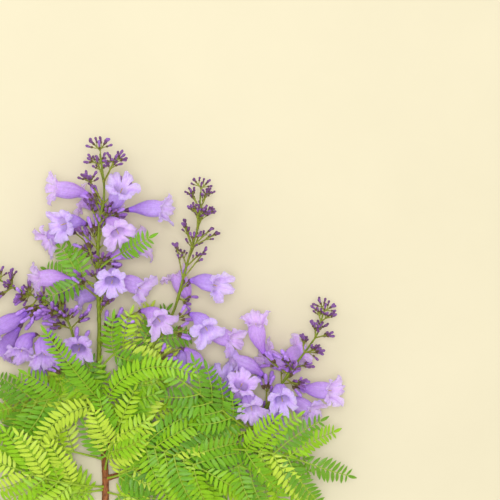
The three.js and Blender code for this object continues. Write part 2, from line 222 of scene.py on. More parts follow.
def finish(name, base, dark, scale, gloss=0.5, relief=0.3, stretch=(1, 1, 1), soft=0.0, depth=0.001,
           shine=0.25):
    material = bpy.data.materials.new(name)
    material.use_nodes = True
    nodes, links = material.node_tree.nodes, material.node_tree.links
    shader = nodes["Principled BSDF"]
    where = nodes.new("ShaderNodeTexCoord")
    lay = nodes.new("ShaderNodeMapping")
    lay.inputs["Scale"].default_value = stretch
    links.new(where.outputs["Object"], lay.inputs["Vector"])
    grain = nodes.new("ShaderNodeTexNoise")
    grain.inputs["Scale"].default_value = scale
    grain.inputs["Detail"].default_value = noise["detail"]
    grain.inputs["Roughness"].default_value = noise["roughness"]
    links.new(lay.outputs["Vector"], grain.inputs["Vector"])
    ramp = nodes.new("ShaderNodeValToRGB")
    low, high = ramp.color_ramp.elements
    low.position, low.color = noise["dark"], colour(dark)
    high.position, high.color = noise["base"], colour(base)
    links.new(grain.outputs["Fac"], ramp.inputs["Fac"])
    links.new(ramp.outputs["Color"], shader.inputs["Base Color"])
    rough = nodes.new("ShaderNodeMapRange")
    rough.inputs["To Min"].default_value = gloss - noise["stray"]
    rough.inputs["To Max"].default_value = gloss + noise["stray"]
    links.new(grain.outputs["Fac"], rough.inputs["Value"])
    links.new(rough.outputs["Result"], shader.inputs["Roughness"])
    bump = nodes.new("ShaderNodeBump")
    bump.inputs["Strength"].default_value = relief
    bump.inputs["Distance"].default_value = noise["height"]
    links.new(grain.outputs["Fac"], bump.inputs["Height"])
    links.new(bump.outputs["Normal"], shader.inputs["Normal"])
    shader.inputs["Specular IOR Level"].default_value = shine
    if soft:
        shader.inputs["Subsurface Weight"].default_value = soft
        shader.inputs["Subsurface Radius"].default_value = noise["glow"]
        shader.inputs["Subsurface Scale"].default_value = depth
    return material


# Floor, sky and lights, in metres and watts: a wide soft window above the left side, a weak fill from the
# right and a light overhead that opens the shadows between the stalks, all aimed at one point.
studio = {
    "floor": (205, 197, 169), "paler": 4, "reach": 15, "sky": (1.0, 0.985, 0.95, 1.0), "strength": 0.88,
    "aim": np.array([0.02, 0.02, 0.0]),
}
lights = {
    "window": {"place": (-0.9, 0.9, 1.5), "size": 0.9, "power": 18.5},
    "fill": {"place": (1.1, -0.5, 1.3), "size": 1.6, "power": 2.3},
    "ceiling": {"place": (0.1, 0.12, 1.45), "size": 0.5, "power": 13.0},
}

# The camera looks straight down on a point of the frame, and sees this width at this height, in millimetres.
view = {"middle": (83.7, 76.6), "width": 450, "height": 30, "lens": 90}


# The floor, the sky, the lights and the camera.
def makeStudio():
    scene = bpy.context.scene
    scene.view_settings.view_transform = "Standard"
    world = bpy.data.worlds.new("sky")
    world.use_nodes = True
    sky = world.node_tree.nodes["Background"]
    sky.inputs["Color"].default_value = studio["sky"]
    sky.inputs["Strength"].default_value = studio["strength"]
    scene.world = world
    mesh = bpy.data.meshes.new("floor")
    r = studio["reach"]
    mesh.from_pydata([(-r, -r, 0), (r, -r, 0), (r, r, 0), (-r, r, 0)], [], [(0, 1, 2, 3)])
    floor = bpy.data.objects.new("floor", mesh)
    scene.collection.objects.link(floor)
    paler = [v + studio["paler"] for v in studio["floor"]]
    mesh.materials.append(finish("floor_finish", paler, studio["floor"], 3, gloss=0.75, relief=0.02))
    for name, row in lights.items():
        light = bpy.data.lights.new(name, "AREA")
        light.size = row["size"]
        light.energy = row["power"]
        lamp = bpy.data.objects.new(name, light)
        lamp.location = row["place"]
        way = studio["aim"] - row["place"]
        lamp.rotation_euler = (math.acos(-way[2] / np.linalg.norm(way)), 0, math.atan2(way[0], -way[1]))
        scene.collection.objects.link(lamp)
    camera = bpy.data.cameras.new("camera")
    camera.lens = view["lens"]
    camera.clip_start = 0.05
    eye = bpy.data.objects.new("camera", camera)
    away = view["width"] * view["lens"] / camera.sensor_width
    eye.location = (view["middle"][0] / 1000, view["middle"][1] / 1000, (away + view["height"]) / 1000)
    scene.collection.objects.link(eye)
    scene.camera = eye


# Stems: the points that each runs through, and its radius at the foot and at the tip.
stems = {
    "main_stem": dict(
        points=[[0, 0, 3.2], [0, 22, 3.32], [-1.2, 45, 6], [-5.6, 76, 10], [-5, 104, 16], [-4, 131, 21]],
        radii=(3.2, 2.1),
    ),
    "shoot_right": dict(points=[[-1.8, 44, 6], [8, 61, 10], [17, 76, 13], [30, 107, 19]], radii=(2.1, 1.6)),
    "shoot_left": dict(points=[[-5.2, 68, 9], [-11, 84, 15], [-17, 98, 19]], radii=(1.7, 1.4)),
    "shoot_far_right": dict(
        points=[[0, 22, 4], [36, 32, 8], [88, 39, 10.5], [112, 54, 15]],
        radii=(2.3, 1.7),
    ),
}

# Bark: each stem is a tube whose radius carries long fibres, rings at its nodes and small raised pores.
# Fibres are waves round the stem: how many, how strong, and over what length they wander. They are
# strongest where the stem is woody. A shoot starts in a collar, and the main stem rests on the ground. The
# reddish bark of the foot turns green towards the tip by its tones, each with its dark.
bark = {
    "columns": 40, "every": 0.45, "fibre": 0.05, "ring": 0.07, "pore": 0.05, "collar": 0.5, "fade": 3.5,
    "rest": 1.08,
}
barkFibres = ((5, 1.0, 9), (9, 0.7, 6), (14, 0.6, 4), (19, 0.4, 3))
barkTones = [
    ((156, 96, 52), (98, 56, 32)), ((158, 104, 50), (104, 64, 32)), ((152, 112, 46), (106, 76, 30)),
    ((144, 120, 42), (104, 86, 28)), ((134, 128, 38), (96, 92, 26)), ((126, 134, 36), (88, 96, 24)),
]


# Raised pores strewn over a stem: each is a low bump at a place along it and round it.
def barkPores(s, turn, length, rng):
    pores = np.zeros((len(s), len(turn)))
    for at, side in rng.uniform(0, 1, (int(length * 0.9), 2)):
        across = (turn / (2 * np.pi) - side + 0.5) % 1 - 0.5
        pores += np.exp(-(((s - at * length) / 0.7) ** 2) - (across * 30) ** 2)
    return np.minimum(pores, 1.2)


# Bark of all the stems as one piece, with pale wood at the cut.
def makeStems():
    shapes = []
    rng = np.random.default_rng(5)
    columns = bark["columns"]
    turn = roundTurns(columns)
    for name, stem in stems.items():
        first = name == "main_stem"
        points = np.array(stem["points"], float)
        length = curveLength(points)
        rows = int(length / bark["every"])
        t = np.linspace(0, 1, rows)
        line = curveAt(points, t)
        radius = mix(*stem["radii"], t)
        s = (t * length)[:, None]
        fibres = sum(
            a * np.sin(k * turn + rng.uniform(0, 6.3) + 0.8 * np.sin(s / w + rng.uniform(0, 6.3)))
            for k, a, w in barkFibres
        )
        nodes = rng.uniform(0.05, 0.95, int(length / 14)) * length
        rings = sum(np.exp(-(((s - at) / 1.1) ** 2)) for at in nodes)
        pores = barkPores(s, turn, length, rng)
        if first:
            wood = ease(1 - t, 0.0, 0.6)[:, None]
            line[:, 2] += np.maximum(0, radius * bark["rest"] - line[:, 2])
        else:
            wood = ease(1 - t * 1.6 - 0.2, 0.0, 0.6)[:, None]
            radius = radius * (1 + bark["collar"] * np.exp(-t * length / bark["fade"]))
        relief = 1 + bark["fibre"] * fibres * (0.35 + 0.65 * wood) * 0.5
        relief = relief + bark["ring"] * rings + bark["pore"] * pores
        p, quads, triangles = tubes(line[None], radius[None], columns, relief[None])
        shade = np.minimum((1 - wood[:-1, 0]) * len(barkTones), len(barkTones) - 1).astype(int)
        foot = shade[0]
        if first:
            p[-2] = line[0]  # the cut is flat and shows its wood
            foot = len(barkTones)
        shapes.append((p, quads, triangles, shade.repeat(columns), np.repeat([foot, shade[-1]], columns)))
    materials = [
        finish(f"bark_{k}", tone, dark, 900, gloss=0.65, relief=0.6, stretch=(1, 0.25, 1))
        for k, (tone, dark) in enumerate(barkTones)
    ]
    materials.append(finish("cut_wood", (222, 200, 150), (186, 156, 104), 1400, gloss=0.7))
    makePiece("stem_bark", shapes, materials, list(stems))


# Flower stalks: the points that the axis runs through, its radius at foot and tip, its twigs and its
# blooms. A bloom's row is its share of the axis, its turn round it (0 right, 90 up), how far off its mouth
# stands, and the heading and rise that it faces. A tint given here holds for all of a stalk's blooms: the
# left head's deeper tint is painted shade.
# Twigs leave the axis in pairs, between two shares of it (span). For the first and the last pair: the
# twigs' length and their buds' length. spread is their angle off the axis, roll the first pair's turn round
# it, forks how often the upper ones fork, and out the twigs that the part leaves out, by their order. The
# part doesn't have the rest: more finer pairs, that spread by wide more; pairs of side buds at shares of a
# twig (nodes), with young ones; and unopened blooms beside each open one (closed: how many, and their
# length). hang makes buds longer on twigs that point towards -Y.
stalks = {
    "centre": dict(
        points=[
            [-4, 131.4, 21.1], [-2.7, 160, 28], [-2.7, 193, 35], [-2.7, 221, 40], [-0.9, 254, 43],
            [3.6, 284, 44], [0, 318, 44],
        ],
        radii=(1.9, 0.8),
        twigs=dict(
            pairs=7, span=(0.24, 0.88), spread=46, length=(22, 21), forks=2, roll=60, bud=(9, 8), seed=11,
            out=(2,), more=2, closed=(4, 15), nodes=(0.64,), young=1,
        ),
        blooms=[
            (0.86, -174, 42, 175, 10), (0.66, 167, 32, 200, 45), (0.59, -169, 46, 215, 10),
            (0.84, 32, 19, 60, 40), (0.79, -4, 51, -5, 5), (0.65, 40, 24, -60, 35),
            (0.58, -12, 38, 20, 0), (0.44, 62, 34, -90, 62), (0.37, 9, 38, -30, 12),
            (0.42, 180, 51, 185, 8), (0.14, -32, 25, -80, -15), (0.23, 13, 56, -50, 40),
            (0.78, -125, 34, 165, -20), (0.71, -65, 34, 10, -25), (0.3, -127, 28, 200, -15),
        ],
    ),
    "right": dict(
        points=[
            [30.2, 107.5, 19.1], [46, 146, 27], [64, 176, 32], [74, 210, 35], [80, 231, 36.5], [87, 255, 38],
            [89, 284, 38],
        ],
        radii=(1.5, 0.7),
        twigs=dict(
            pairs=5, span=(0.48, 0.92), spread=30, length=(30, 12), forks=2, roll=10, bud=(7, 5.5), seed=23,
            more=3, wide=16, closed=(3, 13), nodes=(0.62,), young=0,
        ),
        blooms=[
            (0.5, 17, 31, -20, 30), (0.34, 31, 39, -60, 35), (0.33, 4, 56, -25, 15),
            (0.13, -15, 33, -100, -10), (0.47, -105, 21, 120, -15), (0.18, 9, 45, -75, 15),
        ],
    ),
    "left": dict(
        # the deeper tint paints shade onto all of this head's blooms
        tint=3,
        points=[
            [-17.2, 98.6, 19.2], [-22, 118, 24], [-25, 138, 27], [-27, 158, 29], [-36, 176, 31],
            [-54, 188, 31], [-76, 197, 30], [-97, 208, 29], [-113, 217, 28],
        ],
        radii=(1.3, 0.7),
        twigs=dict(
            pairs=7, span=(0.4, 0.96), spread=58, length=(13, 9), forks=1, roll=20, bud=(15, 7), seed=37,
            out=(6,), more=7, closed=(4, 17), nodes=(0.45, 0.7), young=0, hang=0.32,
        ),
        blooms=[
            (0.3, 162, 47, -105, 20), (0.29, 134, 34, -80, 25), (0.14, -179, 37, -95, -5),
            (0.31, 74, 27, -90, 65), (0.75, 171, 38, 205, 10), (0.72, -165, 60, -120, -15),
        ],
    ),
    "far_right": dict(
        points=[
            [112.4, 54.3, 15.1], [132, 68, 19], [148, 90, 22], [161, 110, 25], [172, 126, 26.5],
            [184, 142, 27], [194, 157, 27], [199, 174, 27],
        ],
        radii=(1.6, 0.7),
        twigs=dict(
            pairs=5, span=(0.44, 0.95), spread=50, length=(16, 9), forks=1, roll=50, bud=(9, 7), seed=41,
            out=(3, 5), more=3, closed=(4, 15), nodes=(0.6,), young=1,
        ),
        blooms=[
            (0.65, 170, 51, 96, 15), (0.41, 176, 44, 165, 5), (0.29, 166, 50, 120, 25),
            (0.34, 143, 39, 70, 50), (0.27, 115, 29, -75, 35), (0.25, 36, 15, -100, 35),
            (0.4, 79, 28, -80, 55), (0.4, 9, 34, -30, 20), (0.6, 11, 39, 0, 25),
            (0.67, -104, 13, 20, -50), (0.53, -146, 30, 150, -10),
        ],
    ),
}


# The outline of a bloom's five lobes as the part has it, four points to each. The lower three lobes are
# longer and lean forward, and the upper two lean back.
def lobeEdge(calyx, mouth):
    i = np.arange(20)
    lobe, step = i // 4, i % 4
    lower = np.isin(lobe, [0, 1, 4])
    share = np.array([0.22, 0.86, 1, 0.86])[step]
    reach = bloomSize["mouth"] + share * bloomSize["lobe"] * np.where(lower, 1.08, 0.92)
    forward = share * bloomSize["lobe"] * np.where(lower, 0.45, -0.1)
    turn = bloomSize["start"] + 72 * lobe + np.array([0, 11, 36, 61])[step]
    along = unit(mouth - calyx)
    right, up = sides(along)
    return mouth + off(right, up, turn) * reach[:, None] + along * forward[:, None]


# Where a bloom stands. Its stalklet leaves the axis at root. The part's stalk ends half way to the calyx,
# and past a small gap its bloom starts at foot and runs by the calyx to the mouth. A bloom that would reach
# below the ground is lifted onto it.
def stand(points, length, row):
    t, turn, reach, head, rise = row
    right, up = sides(curveAlong(points, t))
    mouth = curveAt(points, t) + off(right, up, turn) * reach
    calyx = mouth - heading(head, rise) * bloomSize["tube"]
    lift = np.array([0, 0, max(0.0, -lobeEdge(calyx, mouth)[:, 2].min())])
    mouth, calyx = mouth + lift, calyx + lift
    back = (0.2 * reach + 10) / length  # a bloom that stands far off leaves the axis lower down
    root = curveAt(points, max(0.02, t - back))
    end = mix(root, calyx, 0.5)
    foot = end + unit(calyx - end) * bloomSize["gap"]
    return dict(root=root, end=end, foot=foot, calyx=calyx, mouth=mouth)


# A bloom's path from foot to mouth, drawn towards its calyx: foot (1 - t)^2 + 2 calyx t (1 - t) + mouth t^2.
def bend(place, t):
    t = np.asarray(t, float)[..., None]
    return place["foot"] * (1 - t) ** 2 + place["calyx"] * 2 * t * (1 - t) + place["mouth"] * t**2


# The path's direction turns evenly from the way between foot and calyx to that between calyx and mouth.
def bendAlong(place, t):
    t = np.asarray(t, float)[..., None]
    return unit((place["calyx"] - place["foot"]) * (1 - t) + (place["mouth"] - place["calyx"]) * t)


# The share of the path where the stalklet ends and the tube starts.
def neckOf(place):
    stalklet = np.linalg.norm(place["calyx"] - place["foot"])
    return 0.8 * stalklet / (stalklet + bloomSize["tube"])


# Stations at shares s of the tube, from its neck to the mouth, none before the share least of the path:
# their middles, and the ways along, right and up.
def tubeStations(place, s, least=0.0):
    neck = neckOf(place)
    t = np.maximum(neck + (1 - neck) * s, least)
    along = bendAlong(place, t)
    return bend(place, t), along, *sides(along)


# Room that the blooms take up: points along each, and one before its mouth, with a width round them.
def bloomRoom(places):
    t = np.linspace(0.1, 1, 12)
    paths = [bend(p, t) for p in places]
    fronts = [(p["mouth"] + unit(p["mouth"] - p["calyx"]) * 2)[None] for p in places]
    widths = [np.interp(t, [0, 0.3, 1], [0.8, 2, 6.6])] * len(places) + [np.full(len(places), 9.0)]
    return np.concatenate(paths + fronts), np.concatenate(widths)


# Whether points stay out of that room, or out of a share of its widths.
def isClear(samples, room, share=1.0):
    near = np.linalg.norm(samples[:, None] - room[0][None], axis=-1)
    return bool((near > room[1] * share).all())


# Stalk and stalklets: the axis carries on from its stem, starts sunk into it, is ribbed, and swells where a
# stalklet leaves it. A stalklet is one smooth line from the axis to its calyx, its radius from one profile.
stalk = {"columns": 14, "every": 0.9, "sunk": 0.6, "swell": 0.25, "ribs": 0.05, "waves": 0.02}
stalklet = {
    "columns": 8, "stations": 22, "shares": [0, 0.08, 0.5, 0.9, 1],
    "radii": [1.3, 0.9, 0.68, 0.62, 0.85],
}


# A stalk's axis, with six ribs and three slow waves round it.
def axisShape(row, places, rng):
    points = np.array(row["points"], float)
    length = curveLength(points)
    t = np.linspace(0, 1, int(length / stalk["every"]))
    line = curveAt(points, t)
    line[0] -= curveAlong(points, 0) * stalk["sunk"]
    turn = roundTurns(stalk["columns"])
    s = (t * length)[:, None]
    relief = 1 + stalk["ribs"] * np.sin(6 * turn + rng.uniform(0, 6.3) + 0.5 * np.sin(s / 11))
    relief = relief + stalk["waves"] * np.sin(3 * turn + s / 5)
    for place in places:
        near = np.linalg.norm(line - place["root"], axis=1)
        relief += stalk["swell"] * np.exp(-((near / 2.2) ** 2))[:, None]
    return *tubes(line[None], mix(*row["radii"], t)[None], stalk["columns"], relief[None]), 0, 0


# The stalklets, by the end of the part's stalk and a little way up the bloom's path.
def stalkletShape(places):
    t = np.linspace(0, 1, stalklet["stations"])
    lines = []
    for place in places:
        root, end = place["root"], place["end"]
        knots = np.vstack([root, mix(root, end, 0.5), end, bend(place, [0.1, neckOf(place)])])
        lines.append(curveAt(knots, t))
    radii = np.interp(t, stalklet["shares"], stalklet["radii"])
    return *tubes(np.array(lines), np.tile(radii, (len(lines), 1)), stalklet["columns"]), 1, 1


# Twigs: the radius of one that forks on, of another long one, of a short one and of a bud's own; from what
# length a twig is long; and the angle and length of a fork.
twig = {
    "stout": 0.85, "plain": 0.7, "short": 0.55, "thin": 0.45, "long": 9, "angle": math.radians(40),
    "fork": 6,
}


# Bud twigs by the source's rule: pairs along the axis, each pair turned a quarter from the last, then
# forks. Of the finer twigs that follow, one whose way a bloom blocks is left out with its forks. Each twig
# ends in a bud between two more.
def growTwigs(row, places, room):
    rule = row["twigs"]
    draw = dice(rule["seed"])
    fine = np.random.default_rng(rule["seed"])
    points = np.array(row["points"], float)
    lines, radii, buds = [], [], []
    order, finer = 0, False

    # whether the way from a to b is clear of the blooms and of the ground
    def clear(a, b, share):
        samples = a + (b - a) * np.linspace(0.35, 1, 6)[:, None]
        return isClear(samples, room, share) and samples[:, 2].min() > 1

    # a twig from a to b, bowed a little to one side and thicker at both ends
    def put(a, b, thick):
        t = np.linspace(0, 1, 7)[:, None]
        side = np.cross(unit(b - a), [0, 0, 1]) * fine.uniform(-0.5, 0.5)
        lines.append(a + (b - a) * t + side * np.sin(np.pi * t))
        radii.append(np.interp(t[:, 0], [0, 0.12, 0.85, 1], [thick * 1.5, thick, thick * 0.85, thick * 1.1]))

    # many buds on short twigs from one foot, each turned on round it
    def tuft(foot, along, side, many, reach, size):
        for k in range(many):
            turn = 2.4 * k + fine.uniform(0, 1)
            away = side * math.cos(turn) + np.cross(side, along) * math.sin(turn)
            way = unit(along * fine.uniform(0.7, 1.3) + away * fine.uniform(0.5, 1.0))
            end = foot + way * reach * fine.uniform(0.6, 1.1)
            long = size * fine.uniform(0.6, 1.1)
            if clear(end, end + way * long, 0.85):
                put(foot, end, 0.42)
                buds.append((end, unit(way + along * 0.5), long))

    # whether a twig grows: the part's ones by their order, and the finer ones where they are clear
    def fits(foot, tip):
        nonlocal order
        order += 1
        if finer:
            return clear(foot, tip, 0.7)
        return order not in rule.get("out", ())

    # a pair of side buds at each node of a long twig
    def sideBuds(foot, along, side, length, size):
        for share in rule["nodes"]:
            for s in (-1, 1):
                node = foot + along * (length * share + fine.uniform(-0.6, 0.6))
                way = unit(along + side * s * 0.75 + np.cross(side, along) * fine.uniform(-0.5, 0.5))
                end = node + way * fine.uniform(3.0, 6.0)
                if clear(end, end + way * size, 0.9):
                    put(node, end, twig["thin"])
                    buds.append((end, way, size * fine.uniform(0.6, 0.95)))
                    tuft(mix(node, end, 0.6), way, side, rule["young"], 3, size * 0.7)

    # a twig with its bud, its side buds and its forks, which spread in the plane of along and side
    def grow(foot, along, side, length, forks, size):
        tip = foot + along * length
        if not fits(foot, tip):
            return
        long = length > twig["long"]
        thick = twig["short"]
        if long:
            thick = twig["stout"] if forks > 1 else twig["plain"]
        put(foot, tip, thick)
        buds.append((tip, along, size))
        if long:
            sideBuds(foot, along, side, length, size)
        for s in (-1, 1):
            fork = foot + along * (length - 1 - 0.4 * s)
            out = along * math.cos(twig["angle"]) + side * math.sin(twig["angle"] * s)
            if forks > 1:
                grow(fork, out, unit(np.cross(side, out)), twig["fork"], forks - 1, size * 0.92)
                continue
            end = fork + out * fine.uniform(2.2, 3.8)
            put(fork, end, twig["thin"])
            buds.append((end, unit(out + along * 0.2), size * fine.uniform(0.8, 1.1)))
            if not long:
                level = np.cross(side, along) * s
                way = unit(along + level * 0.8 + side * fine.uniform(-0.3, 0.3))
                node = foot + along * length * 0.45
                put(node, node + way * 4.2, twig["thin"])
                buds.append((node + way * 4.2, way, size * fine.uniform(0.7, 1.0)))

    # two twigs on opposite sides of the axis, at a share of the span; far is a share of their length
    def pair(share, i, draw, far, forks, wide=0):
        t = mix(*rule["span"], share)
        at, along = curveAt(points, t), curveAlong(points, t)
        right, up = sides(along)
        for k in range(2):
            turn = rule["roll"] + 90 * i + 180 * k + 24 * (draw() - 0.5)
            spread = math.radians(rule["spread"] + wide + 14 * (draw() - 0.5))
            out = off(right, up, turn)
            way = along * math.cos(spread) + out * math.sin(spread)
            side = unit(np.cross(out, way))
            length = mix(*rule["length"], share) * (0.85 + 0.3 * draw()) * far
            size = mix(*rule["bud"], share) * (0.6 + 0.4 * far) * (1 - rule.get("hang", 0) * way[1])
            grow(at, way, side, length, forks, size)

    for i in range(rule["pairs"]):
        share = i / (rule["pairs"] - 1)
        pair(share, i, draw, 1.0, rule["forks"] if share > 0.7 else 1)
    along = curveAlong(points, 1)
    grow(curveAt(points, 1) - along * 2, along, sides(along)[0], twig["fork"], 2, rule["bud"][1])
    finer = True
    for i in range(rule["more"]):
        share = (i + 0.5) / rule["more"]
        pair(share, i + 0.5, fine.random, fine.uniform(0.5, 0.95), 1, rule.get("wide", 0))
    many, long = rule["closed"]
    for place in places:
        at = mix(place["root"], place["end"], fine.uniform(0.55, 0.9))
        along = unit(place["end"] - place["root"])
        tuft(at, along, sides(along)[0], many, 5.5, long)
    return (*tubes(np.array(lines), np.array(radii), 6), 1, 1), buds


# Every bloom is given its place first, so that the twigs can keep clear of them all.
def makeStalks():
    rng = np.random.default_rng(8)
    places = {}
    for name, row in stalks.items():
        points = np.array(row["points"], float)
        length = curveLength(points)
        places[name] = [stand(points, length, bloom) for bloom in row["blooms"]]
    room = bloomRoom([p for many in places.values() for p in many])
    shapes, buds = [], []
    for name, row in stalks.items():
        twigs, tips = growTwigs(row, places[name], room)
        shapes += [axisShape(row, places[name], rng), stalkletShape(places[name]), twigs]
        buds += tips
    materials = [
        finish("stalk_green", (122, 140, 30), (84, 98, 18), 700, relief=0.4, stretch=(1, 0.3, 1)),
        finish("twig_green", (142, 154, 46), (102, 100, 40), 500),
    ]
    makePiece("flower_stalks", shapes, materials, [f"flower_stalk_{name}" for name in stalks])
    makeBuds(buds)
    return places, room


# Buds: a club on a short cup, its radius from one profile, leaning over towards its tip. A bud is thinner
# and darker while it is short. The tones run from the youngest to the oldest, each with its dark.
bud = {
    "shares": [0, 0.1, 0.22, 0.3, 0.5, 0.74, 0.9, 0.99],
    "radii": [0.5, 0.9, 1.0, 0.72, 0.85, 1.2, 1.08, 0.55],
    "columns": 8, "cup": 3, "lean": (0.02, 0.28), "low": 1.5,
}
budTones = [
    ((118, 76, 128), (88, 52, 96)), ((136, 92, 158), (104, 64, 122)),
    ((156, 112, 192), (122, 80, 156)), ((184, 142, 228), (150, 108, 194)),
]


# Each bud comes as its foot, its direction and its length.
def makeBuds(buds):
    rng = np.random.default_rng(3)
    foot, along, size = (np.array(v) for v in zip(*buds))
    count = len(buds)
    s = np.array(bud["shares"])
    lean = unit(np.cross(along, rng.normal(size=along.shape)))
    lines = foot[:, None] + along[:, None] * (s * size[:, None])[..., None]
    bow = s**2 * size[:, None] * rng.uniform(*bud["lean"], (count, 1))
    lines = lines + lean[:, None] * bow[..., None]
    keepAbove(lines, bud["low"])
    radii = np.array(bud["radii"]) * (0.62 + 0.066 * size[:, None])
    columns = bud["columns"]
    p, quads, triangles = tubes(lines, radii, columns)
    tone = 1 + np.clip(np.round((size - 5) / 3.0 + rng.uniform(-0.4, 0.8, count)), 0, 3).astype(int)
    paint = np.where(np.arange(len(s) - 1) < bud["cup"], 0, tone[:, None]).repeat(columns, axis=1).ravel()
    ends = np.stack([np.zeros(count, int), tone], axis=1).repeat(columns, axis=1).ravel()
    materials = [finish("bud_cup", (108, 90, 56), (76, 56, 44), 800, relief=0.2)]
    for k, (tone, dark) in enumerate(budTones):
        materials.append(finish(f"bud_violet_{k}", tone, dark, 700, relief=0.15, soft=0.15))
    makePiece("flower_buds", [(p, quads, triangles, paint, ends)], materials)


# Blooms. The tube's radius swells along its bend by one profile. A lobe leaves the mouth at a slope off the
# tube (leave), opens to another, and is some times as long as the part's. These two, open and long, have a
# value for the lower lobes and one for the upper. Its wall is thick, and thins to the rim. Dealt out: how
# far a bloom opens, and each lobe's pitch, curl, sway, cup and size.
petal = {
    "columns": 90, "tube": 15, "lobe": 12, "thick": 0.32, "rim": 0.04, "folds": 0.035, "flat": 0.25,
    "slant": 1.8, "ruffle": 2.4, "broad": 7, "leave": 8, "open": (96, 142), "long": (1.42, 1.2),
    "ajar": (0.66, 1.04), "pitch": (-34, 18), "curl": (-60, 50), "sway": (-13, 13), "cup": (-0.3, 0.5),
    "size": (0.86, 1.1), "shades": 10,
}
tubeShares = [0, 0.05, 0.12, 0.3, 0.45, 0.66, 0.85, 1]
tubeRadii = [1.0, 1.6, 2.1, 3.2, 4.8, 6.3, 6.3, 5.5]


# The mean of values along a path of even steps, each step taken half way between its ends.
def pathMean(values):
    return (values[..., 1:] + values[..., :-1]).mean(axis=-1) / 2


# The tube: rings along its bend, with a fold for each lobe, broader than high, and slanting back above at
# the mouth. Gives its outer and inner wall, the points that close them, and its last ring.
def tubeWalls(place, s, turn):
    centre, along, right, up = tubeStations(place, s)
    angle = np.radians(turn)
    folds = 1 + petal["folds"] * np.cos(5 * angle + np.pi) * ease(s, 0.4, 1)[:, None]
    flat = 1 + petal["flat"] * np.cos(2 * angle) * ease(s, 0.3, 0.9)[:, None]
    radius = np.interp(s, tubeShares, tubeRadii)[:, None] * folds * flat
    slant = petal["slant"] * np.sin(angle) * ease(s, 0.55, 1)[:, None]
    middle = centre[:, None] - along[:, None] * slant[..., None]
    out = spokes(right, up, angle)
    outer = middle + out * radius[..., None]
    inner = middle + out * (radius - petal["thick"] * ease(s, 0, 0.3)[:, None])[..., None]
    keepAbove(outer, floorGap)
    keepAbove(inner, floorGap + petal["thick"] * 0.7)
    caps = np.stack([centre[0] - along[0] * 0.3, centre[2]])
    return outer, inner, caps, (middle[-1], radius[-1], along[-1], right[-1], up[-1])


# The lobes: each column is a path out of the mouth whose slope turns from the tube's own to its tip's, as
# long as a rounded outline with small nicks has it there; phi is its place across its lobe, -1 to 1, and q
# the rows' share of the way. Off that path a lobe is cupped, ruffled by waves that grow towards its rim,
# and sunk along its midrib. Gives the outside and, past a wall that thins to the rim, the inside.
def lobeSheets(mouth, lobe, phi, turn, q, rng):
    middle, radius, face, right, up = mouth
    inward = 1 - phi**2
    upper = ease(np.sin(np.radians(turn)), -0.05, 0.68)
    wave = rng.uniform(0, 2 * np.pi, (3, 5))[:, lobe]
    nicks = 1 - 0.07 * (1 + np.sin(4.6 * phi + wave[1])) - 0.035 * (1 + np.sin(12 * phi + wave[2]))
    share = 0.13 + 0.93 * np.maximum(0, 1 - np.abs(phi) ** 2.3) ** 0.55 * nicks
    ajar = rng.uniform(*petal["ajar"])
    pitch = rng.uniform(*petal["pitch"], 5)[lobe] * inward
    curl = rng.uniform(*petal["curl"], 5)[lobe] * inward
    sway = rng.uniform(*petal["sway"], 5)[lobe] * inward
    cup = rng.uniform(*petal["cup"], 5)[lobe]
    size = (rng.uniform(*petal["size"], 5) * [1.0, 1.0, 0.96, 0.96, 1.0])[lobe] ** inward
    x = q * share
    long = bloomSize["lobe"] * mix(*petal["long"], upper) * size
    at = x[..., None] * np.linspace(0, 1, 25)
    opening = mix(*petal["open"], upper) * ajar + pitch - petal["leave"]
    slope = np.radians(petal["leave"] + opening[:, None] * at**0.55 + curl[:, None] * at**3)
    spread = pathMean(np.sin(slope)) * x * long
    forward = pathMean(np.cos(slope)) * x * long
    level = off(right, up, turn + petal["broad"] * phi * x + sway * x**1.5)
    tip = slope[..., -1:]
    normal = face * np.sin(tip) - level * np.cos(tip)
    rim = q**2
    crimp = petal["ruffle"] * (
        0.8 * rim * np.sin(3.3 * phi + wave[0]) * np.abs(phi) ** 0.5
        + 0.5 * rim**1.5 * np.sin(7.3 * phi + wave[1])
        + 0.28 * rim**2.5 * np.sin(14.7 * phi + wave[2])
        + 0.12 * q * np.sin(23 * phi + 5 * q + wave[1])
    )
    midrib = -0.6 * np.exp(-((phi * 6) ** 2)) * q * (1 - q * 0.6)
    shift = (cup * phi**2 * q**1.3 * 4 + crimp + midrib) * np.minimum(1, share * 1.6)
    limb = middle + level * (radius + spread)[..., None]
    limb = limb + face * forward[..., None] + normal * shift[..., None]
    thick = petal["thick"] * (1 - q**3) + petal["rim"]
    lining = limb + normal * thick[..., None]
    keepAbove(limb, floorGap)
    keepAbove(lining, floorGap + thick * 0.7)
    return limb, lining


# The shade of each face, 0 deepest. Outside they pale from the foot of the tube to the lobes. Inside, a
# deeper star spreads from the throat along the midribs. Streaks run the whole length of a bloom.
def petalShades(s, q, phi, turn, rng):
    midrib = np.exp(-((phi * 3.2) ** 2))
    streak = rng.normal(0, 0.06, len(phi)) - 0.05 * np.cos(10 * np.radians(turn))
    tube = np.interp(s, [0, 0.5, 1], [0.05, 0.42, 0.7])[:, None] + 0 * phi
    backs = mix(0.74, 0.98, q) - 0.1 * midrib
    star = 1 - 0.36 * np.exp(-q[::-1] / 0.35) * (0.3 + 0.7 * midrib) - 0.14 * midrib
    throat = np.interp(s[:3:-1], [0, 0.5, 0.8, 1], [0.9, 0.98, 1.0, 0.92])[:, None] - 0.16 * midrib
    tone = np.concatenate([tube, backs, star, throat])[:-1] + streak
    tone = tone + rng.normal(0, 0.018, tone.shape)
    last = petal["shades"] - 1
    return np.clip(np.round(tone * last), 0, last).astype(int)


